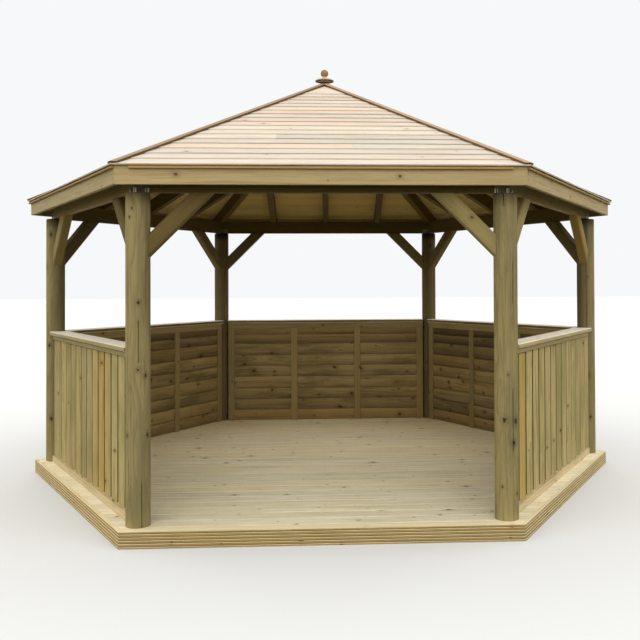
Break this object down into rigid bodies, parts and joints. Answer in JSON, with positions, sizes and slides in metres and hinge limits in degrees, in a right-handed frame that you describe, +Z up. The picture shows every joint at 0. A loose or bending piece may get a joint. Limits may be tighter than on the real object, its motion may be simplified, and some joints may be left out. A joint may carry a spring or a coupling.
{
  "type": "garden gazebo",
  "caption": "Open hexagonal timber garden gazebo with round posts, knee braces, half-height panels with a handrail, a boarded floor and a lapped board roof with a ball finial.",
  "frame": {"origin": "on the ground, at the centre of the hexagonal plan", "axes": "+Z up, -Y out through the open front, +X to the right when looking in, through two opposite posts"},
  "size_m": [4.7664, 4.128, 3.2411],
  "materials": {
    "deck_boards": "sawn softwood, pressure treated, dry and matt",
    "structural_timber": "planed softwood, pressure treated, matt",
    "round_posts": "machine-rounded softwood, pressure treated, matt",
    "roof_boards": "planed softwood boards, pale and matt",
    "panel_boards": "sawn softwood boards, pressure treated, matt",
    "handrail_timber": "planed softwood with rounded edges, matt",
    "fascia_timber": "planed softwood, pressure treated, matt",
    "hip_cap_timber": "planed softwood, matt",
    "finial_timber": "turned softwood, matt",
    "galvanised_steel": "hot-dip galvanised sheet, dull"
  },
  "bodies": {
    "root": {"beam_back": "structural_timber", "beam_back_left": "structural_timber", "beam_back_right": "structural_timber", "beam_front": "structural_timber", "beam_front_left": "structural_timber", "beam_front_right": "structural_timber", "braces_back": "structural_timber", "braces_back_left": "structural_timber", "braces_back_right": "structural_timber", "braces_front": "structural_timber", "braces_front_left": "structural_timber", "braces_front_right": "structural_timber", "common_rafters": "structural_timber", "eaves_strips": "fascia_timber", "fascia": "fascia_timber", "finial_ball": "finial_timber", "finial_base": "finial_timber", "floor_boards": "deck_boards", "floor_border": "deck_boards", "floor_frame": "structural_timber", "floor_skirt": "deck_boards", "handrails": "handrail_timber", "hip_caps": "hip_cap_timber", "hip_rafters": "structural_timber", "king_block": "structural_timber", "panel_back": "panel_boards", "panel_back_left": "panel_boards", "panel_back_right": "panel_boards", "panel_front_left": "panel_boards", "panel_front_right": "panel_boards", "post_back_left": "round_posts", "post_back_right": "round_posts", "post_brackets": "galvanised_steel", "post_front_left": "round_posts", "post_front_right": "round_posts", "post_left": "round_posts", "post_right": "round_posts", "roof_back": "roof_boards", "roof_back_left": "roof_boards", "roof_back_right": "roof_boards", "roof_front": "roof_boards", "roof_front_left": "roof_boards", "roof_front_right": "roof_boards"}
  },
  "joints": []
}
